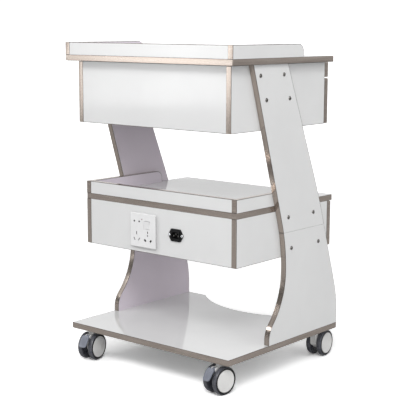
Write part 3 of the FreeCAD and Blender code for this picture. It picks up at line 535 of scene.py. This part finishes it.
def strip_uv(bm, vertical):
    """UV in metres for an edging strip: u along the strip, v across it."""
    layer = bm.loops.layers.uv.new("strip")
    for face in bm.faces:
        normal = face.normal
        if abs(normal.z) > 0.75 or (vertical and abs(normal.x) > 0.75):
            longest = max(face.edges, key=lambda e: e.calc_length())
            along = (longest.verts[1].co - longest.verts[0].co).normalized()
            if along.dot(Vector((1, 1, 1))) < 0:
                along = -along
            across = normal.cross(along)
        else:
            across = Vector((1, 0, 0)) if vertical else Vector((0, 0, 1))
            along = normal.cross(across).normalized()
        for loop in face.loops:
            loop[layer].uv = (loop.vert.co.dot(along), loop.vert.co.dot(across))


def refined_edging(node):
    """Edging with a dark line along both its borders, which is glue and painted shade of the joint."""
    bm = cad_mesh(node)
    # the rounded borders take the dark line: glue and painted shade of the joint
    for face in bevel(bm, GLUE_AND_SHADE_LINE, 50.0):
        face.material_index = 1
    strip_uv(bm, node == "panel_edging")
    slot = slot_of_node[node]
    new_object(node + "_shown", bm, [slot, "glue_line"], body_of_node[node], slot, [node], 24.0)


def boards():
    for node, slot in slot_of_node.items():
        if slot == "white_laminate":
            panel = node.startswith(("upper_side", "lower_side")) or node.endswith("side_rails")
            wall = node.startswith("top_case") and not node.endswith("floor")
            refined(node, 0.3 * MM, inner=panel, groove=TOP_GROOVE if wall else 0.0)
    for node in slot_of_node:
        if node.endswith("edging"):
            refined_edging(node)


def drawers():
    for drawer in DRAWERS:
        refined(drawer + "_box", 0.6 * MM)
        refined(drawer + "_slide_members", 0.25 * MM)
        refined(drawer + "_handle", 0.3 * MM, 60.0)


def drawer_screws(drawer):
    """Screw heads inside the drawer box that hold the handle."""
    box_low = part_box(drawer + "_box")[0]
    handle_low, handle_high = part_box(drawer + "_handle")
    profile = [(SCREW_HEIGHT * height, SCREW_RADIUS * radius) for height, radius in PAN_HEAD]
    bm = bmesh.new()
    for x in (-HANDLE_HALF_PITCH, HANDLE_HALF_PITCH):
        at = (x, box_low.y + DRAWER_BOARD, (handle_low.z + handle_high.z) / 2)
        lathe(bm, profile, Matrix.Translation(at) @ Matrix.Rotation(QUARTER, 4, "Z"))
    outward(bm)
    new_object(drawer + "_handle_screws", bm, ["nickel"], drawer, "zinc_steel", degrees=35.0)


# ---------------------------------------------------------------- side bolts
def bolt_head(bm, place):
    """A domed head with a hexagon socket, standing out along local X."""
    rim = lathe(bm, BOLT_DOME, place, BOLT_STEPS)[-1]
    turns = [2 * math.pi * k / BOLT_STEPS for k in range(BOLT_STEPS)]
    flat_radius = HEXAGON_RADIUS * math.cos(math.pi / 6)
    radii = [flat_radius / math.cos(a % (math.pi / 3) - math.pi / 6) for a in turns]
    corners = [(r * math.cos(a), r * math.sin(a)) for a, r in zip(turns, radii)]
    top = [bm.verts.new(place @ Vector((BOLT_DOME[-1][0] * MM, y, z))) for y, z in corners]
    low = [bm.verts.new(place @ Vector((HEXAGON_FLOOR, y, z))) for y, z in corners]
    for k in range(BOLT_STEPS):
        j = (k + 1) % BOLT_STEPS
        bm.faces.new((rim[k], top[k], top[j], rim[j]))
        bm.faces.new((top[k], low[k], low[j], top[j]))
    bm.faces.new(low)


def side_bolts():
    """A head on the outer face of the side panel wherever a CAD bolt stands."""
    mesh = nodes["side_bolts"].data
    panel_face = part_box("upper_side_right")[1].x
    bm = bmesh.new()
    for shell in closed_shells(mesh):
        points = [mesh.vertices[i].co for polygon in shell for i in polygon.vertices]
        y, z = ((min(p[i] for p in points) + max(p[i] for p in points)) / 2 for i in (1, 2))
        side = 1 if points[0].x > 0 else -1
        bolt_head(bm, Matrix.Translation((side * panel_face, y, z)) @ Matrix.Diagonal((side, 1, 1, 1)))
    outward(bm)
    new_object("side_bolts_shown", bm, ["dark_steel"], "trolley", "dark_steel", ["side_bolts"], 35.0)


# ---------------------------------------------------------------- socket
plate_low, plate_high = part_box("socket_plate")
plate_middle = (plate_low + plate_high) / 2


def on_plate(x, z, back):
    """Places a detail x and z mm from the plate's middle, that far back from its front."""
    return Matrix.Translation((plate_middle.x + x * MM, plate_high.y - back, plate_middle.z + z * MM))


def in_hollow(point):
    """Whether a point of the plate lies before one of the hollows behind its outlets."""
    x, z = (point.x - plate_middle.x) / MM, (point.z - plate_middle.z) / MM
    return any(abs(x - cx) < width / 2 and abs(z - cz) < height / 2
               for cx, cz, width, height in PLATE_HOLLOWS)


def socket_plate():
    """The plate: the walls and rims of its slots are painted dark as shade, and its sides painted greyer than
    its front as shade.
    """
    bm = cad_mesh("socket_plate")
    edge = (plate_high.x - plate_low.x) / 2 - SIDE_DEPTH
    for face in bm.faces:
        centre = face.calc_center_median()
        if abs(face.normal.y) < 0.5:
            # the slots' walls and rims take the near-black: painted shade
            if in_hollow(centre) and all(v.co.y > plate_high.y - SLOT_DEPTH for v in face.verts):
                face.material_index = 1
            # the sides take the greyer plastic: painted shade
            elif abs(centre.x - plate_middle.x) > edge:
                face.material_index = 2
    for face in bevel(bm, 0.45 * MM, 40.0):
        if in_hollow(face.calc_center_median()):
            face.material_index = 1
    new_object("socket_plate_shown", bm, ["white_plastic", "hole_painted_shade", "plate_side_painted_shade"], "trolley",
               "white_plastic", ["socket_plate"])


def socket_contact_shade():
    """Contact blocks in the plate's hollows, painted near-black as the shade behind the slots."""
    bm = bmesh.new()
    for x, z, width, height in PLATE_HOLLOWS:
        outline = rounded_rect((width - CONTACT_GAP) * MM, (height - CONTACT_GAP) * MM, 1.0 * MM)
        prism(bm, outline, on_plate(x, z, CONTACT_BACK), CONTACT_THICK, 0.01)
    new_object("socket_contact_shade", bm, ["hole_painted_shade"], "trolley", "white_plastic")


def socket_shutters():
    """Grey shutters behind the slots of the universal outlet."""
    bm = bmesh.new()
    for x, z, turn in SHUTTERS:
        place = on_plate(x, z, SHUTTER_BACK) @ Matrix.Rotation(math.radians(turn), 4, "Y")
        prism(bm, rounded_rect(*SHUTTER_SIZE, 0.4 * MM, 3), place, SHUTTER_THICK, 0.02)
    new_object("socket_shutters", bm, ["shutter"], "trolley", "white_plastic")


def socket_lamp():
    bm = bmesh.new()
    lathe(bm, LAMP_PROFILE, on_plate(*LAMP_AT, LAMP_BACK) @ Matrix.Rotation(QUARTER, 4, "Z"))
    outward(bm)
    new_object("socket_lamp", bm, ["red_lamp"], "trolley", "white_plastic")


# ---------------------------------------------------------------- inlet
def islands(bm):
    """The faces in groups, each group joined by its edges."""
    waiting = set(bm.faces)
    while waiting:
        island, fresh = [], [waiting.pop()]
        while fresh:
            face = fresh.pop()
            island.append(face)
            for near in {f for e in face.edges for f in e.link_faces} & waiting:
                waiting.discard(near)
                fresh.append(near)
        yield island


def power_inlet():
    """The inlet's black housing with its dull metal pins."""
    bm = cad_mesh("power_inlet")
    bevel(bm, 0.3 * MM, 40.0)
    for island in islands(bm):
        xs = [v.co.x for face in island for v in face.verts]
        if max(xs) - min(xs) < PIN_WIDTH:
            for face in island:
                face.material_index = 1
    new_object("power_inlet_shown", bm, ["black_plastic", "pin"], "trolley", "black_plastic", ["power_inlet"])


def inlet_screws():
    """Bright domed screw heads with a dimple in the middle."""
    low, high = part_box("inlet_screws")
    inset = INLET_SCREW_RADIUS * MM
    bm = bmesh.new()
    for x in (low.x + inset, high.x - inset):
        place = Matrix.Translation((x, high.y - INLET_SCREW_SEAT, (low.z + high.z) / 2))
        lathe(bm, INLET_SCREW_PROFILE, place @ Matrix.Rotation(QUARTER, 4, "Z"))
    outward(bm)
    new_object("inlet_screws_shown", bm, ["nickel"], "trolley", "zinc_steel", ["inlet_screws"])


# ---------------------------------------------------------------- casters
def joint_place(joint, axis):
    """The joint's place, with local X along the axis and local Z up."""
    up = Vector((0, 0, 1))
    turn = Matrix((axis, up.cross(axis), up)).transposed().to_4x4()
    return Matrix.Translation(joint["pos_m"]) @ turn


def wheel(caster, letter, side):
    """A wheel: its tread with spokes on the inner face and its outer wall painted near-black as shade, and
    its light cap.
    """
    node = f"{caster}_caster_wheel_{letter}"
    body = body_of_node[node]
    joint = joints[f"{caster}_wheel_{letter}_spin"]
    place = joint_place(joint, Vector(joint["axis"]).normalized()) @ Matrix.Diagonal((side, 1, 1, 1))
    bm = bmesh.new()
    scuff_and_sheen = bm.verts.layers.float.new("scuff_and_sheen")
    rings = lathe(bm, TREAD, place, WHEEL_STEPS, lambda i: int(TREAD[i][0] > WALL_FROM))
    # the rolling face is marked lighter: scuffs and painted sheen
    for (x, r), ring in zip(TREAD, rings):
        amount = 1.0 if r > ROLLING_RADIUS else 0.5 if r > SHOULDER_RADIUS else 0.0
        for v in ring:
            v[scuff_and_sheen] = amount
    for k in range(SPOKES):
        turn = Matrix.Rotation(2 * math.pi * (k + 0.5) / SPOKES, 4, "X")
        prism(bm, SPOKE_SECTION, place @ turn @ Matrix.Translation((*SPOKE_START, 0)), SPOKE_LENGTH)
    outward(bm)
    new_object(node + "_tread", bm, ["dark_tyre", "tyre_wall_painted_shade"], body, "dark_tyre", [node], 30.0)
    bm = bmesh.new()
    lathe(bm, CAP, place, WHEEL_STEPS)
    outward(bm)
    new_object(node + "_cap", bm, ["grey_plastic"], body, "grey_plastic", degrees=30.0)


def pedal_ribs(caster):
    """Raised grip ribs on the pedal's tread."""
    node = caster + "_caster_pedal"
    joint = joints[caster + "_brake_press"]
    place = joint_place(joint, -Vector(joint["axis"]))
    down = (PEDAL_END - PEDAL_START).normalized()
    out = Vector((0, -down.z, down.y))
    turn = Matrix((Vector((1, 0, 0)), out, down)).transposed().to_4x4()
    outline = rounded_rect(*PEDAL_RIB_SIZE, PEDAL_RIB_CORNER, 3)
    bm = bmesh.new()
    for k in range(PEDAL_RIBS):
        at = PEDAL_START + down * (PEDAL_RIB_FIRST + PEDAL_RIB_PITCH * k) - out * PEDAL_RIB_SINK
        prism(bm, outline, place @ Matrix.Translation(at * MM) @ turn, PEDAL_RIB_THICK, 0.06)
    new_object(node + "_ribs", bm, ["pedal_plastic"], body_of_node[node], "pedal_plastic")


def casters():
    for caster in CASTERS:
        refined(caster + "_caster_body", 0.7 * MM, 30.0, 3)
        wheel(caster, "a", -1)
        wheel(caster, "b", 1)
    for caster in REAR_CASTERS:
        refined(caster + "_caster_pedal", 0.8 * MM, 30.0, 3)
        pedal_ribs(caster)


# ---------------------------------------------------------------- floor, light, camera
def floor():
    """Plain pale paper, which the lens sees as white while it bounces little light."""
    t = Material("studio_floor")
    seen = t.new("LightPath").outputs["Is Camera Ray"]
    patch = t.span(t.noise(t.coords(), 1.2, 2.0), 0.3, 0.7)
    paper = t.mix(patch, (FLOOR_SEEN,) * 3, (FLOOR_SEEN + 0.01,) * 3)
    distance = t.new("VectorMath")
    distance.operation = "LENGTH"
    t.put(distance.inputs[0], t.coords())
    far = t.span(distance.outputs["Value"], FAR_FROM, FAR_TO, 0.0, FAR_GLOW)
    t.set(Base_Color=t.mix(seen, (FLOOR_BOUNCE,) * 3, paper), Roughness=0.7, Specular_IOR_Level=0.0,
          Emission_Color=(1.0, 1.0, 1.0), Emission_Strength=t.math("MULTIPLY", seen, far))
    bm = bmesh.new()
    bmesh.ops.create_grid(bm, x_segments=1, y_segments=1, size=FLOOR_HALF_SIDE)
    data = bpy.data.meshes.new("studio_floor")
    bm.to_mesh(data)
    bm.free()
    data.materials.append(t.made)
    paper_sheet = bpy.data.objects.new("studio_floor", data)
    bpy.context.scene.collection.objects.link(paper_sheet)


def world():
    """A dim studio with soft glows from its walls, and a white backdrop where the lens sees it."""
    made = bpy.data.worlds.new("studio")
    made.use_nodes = True
    t = Nodes(made.node_tree)
    sky = SKY
    for azimuth, elevation, strength, start, full in GLOWS:
        a, e = math.radians(azimuth), math.radians(elevation)
        facing = t.new("VectorMath")
        facing.operation = "DOT_PRODUCT"
        t.put(facing.inputs[0], t.coords("Generated"))
        facing.inputs[1].default_value = (math.cos(a) * math.cos(e), math.sin(a) * math.cos(e), math.sin(e))
        glow = t.span(facing.outputs["Value"], start, full, 0.0, strength, "SMOOTHSTEP")
        sky = t.math("ADD", sky, glow)
    seen = t.new("LightPath").outputs["Is Camera Ray"]
    background = made.node_tree.nodes["Background"]
    t.put(background.inputs["Strength"], t.span(seen, 0.0, 1.0, sky, BACKDROP_SEEN))
    t.put(background.inputs["Color"], (1.0, 1.0, 1.0))
    bpy.context.scene.world = made


def area_light(name, where, target, size, power, spread):
    data = bpy.data.lights.new(name, "AREA")
    data.shape = "RECTANGLE"
    data.size, data.size_y = size
    data.energy = power
    data.spread = math.radians(spread)
    lamp = bpy.data.objects.new(name, data)
    bpy.context.scene.collection.objects.link(lamp)
    lamp.location = where
    lamp.rotation_mode = "QUATERNION"
    lamp.rotation_quaternion = (Vector(target) - Vector(where)).to_track_quat("-Z", "Y")


def camera():
    """Stands behind the trolley's left rear corner, a little above its top tray."""
    azimuth, elevation, roll = (math.radians(a) for a in CAMERA_TURN)
    back = Vector((math.sin(azimuth) * math.cos(elevation), -math.cos(azimuth) * math.cos(elevation),
                   math.sin(elevation)))
    right = Vector((math.cos(azimuth), math.sin(azimuth), 0))
    up = back.cross(right)
    rolled_right = right * math.cos(roll) + up * math.sin(roll)
    rolled_up = up * math.cos(roll) - right * math.sin(roll)
    data = bpy.data.cameras.new("camera")
    data.sensor_width = SENSOR_WIDTH
    data.lens = LENS
    data.clip_start, data.clip_end = CLIP
    made = bpy.data.objects.new("camera", data)
    bpy.context.scene.collection.objects.link(made)
    turn = Matrix((rolled_right, rolled_up, back)).transposed().to_4x4()
    made.matrix_world = Matrix.Translation(CAMERA_AT) @ turn
    bpy.context.scene.camera = made


# ---------------------------------------------------------------- the trolley
# the CAD nodes carry the material of their slot
for name, slot_name in slot_of_node.items():
    nodes[name].data.materials.clear()
    nodes[name].data.materials.append(MATERIAL[slot_name])

boards()
drawers()
refined("case_slide_members", 0.25 * MM)
refined("socket_back_box", 0.4 * MM)
refined("mains_lead", 0.2 * MM, 60.0)
refined("base_screws", 0.2 * MM, 40.0)
refined("caster_stems", 0.4 * MM, 40.0)
side_bolts()
for name in DRAWERS:
    drawer_screws(name)
socket_plate()
refined("socket_rocker", 0.5 * MM, 40.0)
socket_contact_shade()
socket_shutters()
socket_lamp()
power_inlet()
inlet_screws()
casters()

# ---------------------------------------------------------------- the studio
floor()
world()
for light in LIGHTS:
    area_light(*light)
camera()
bpy.context.scene.view_settings.view_transform = "Standard"
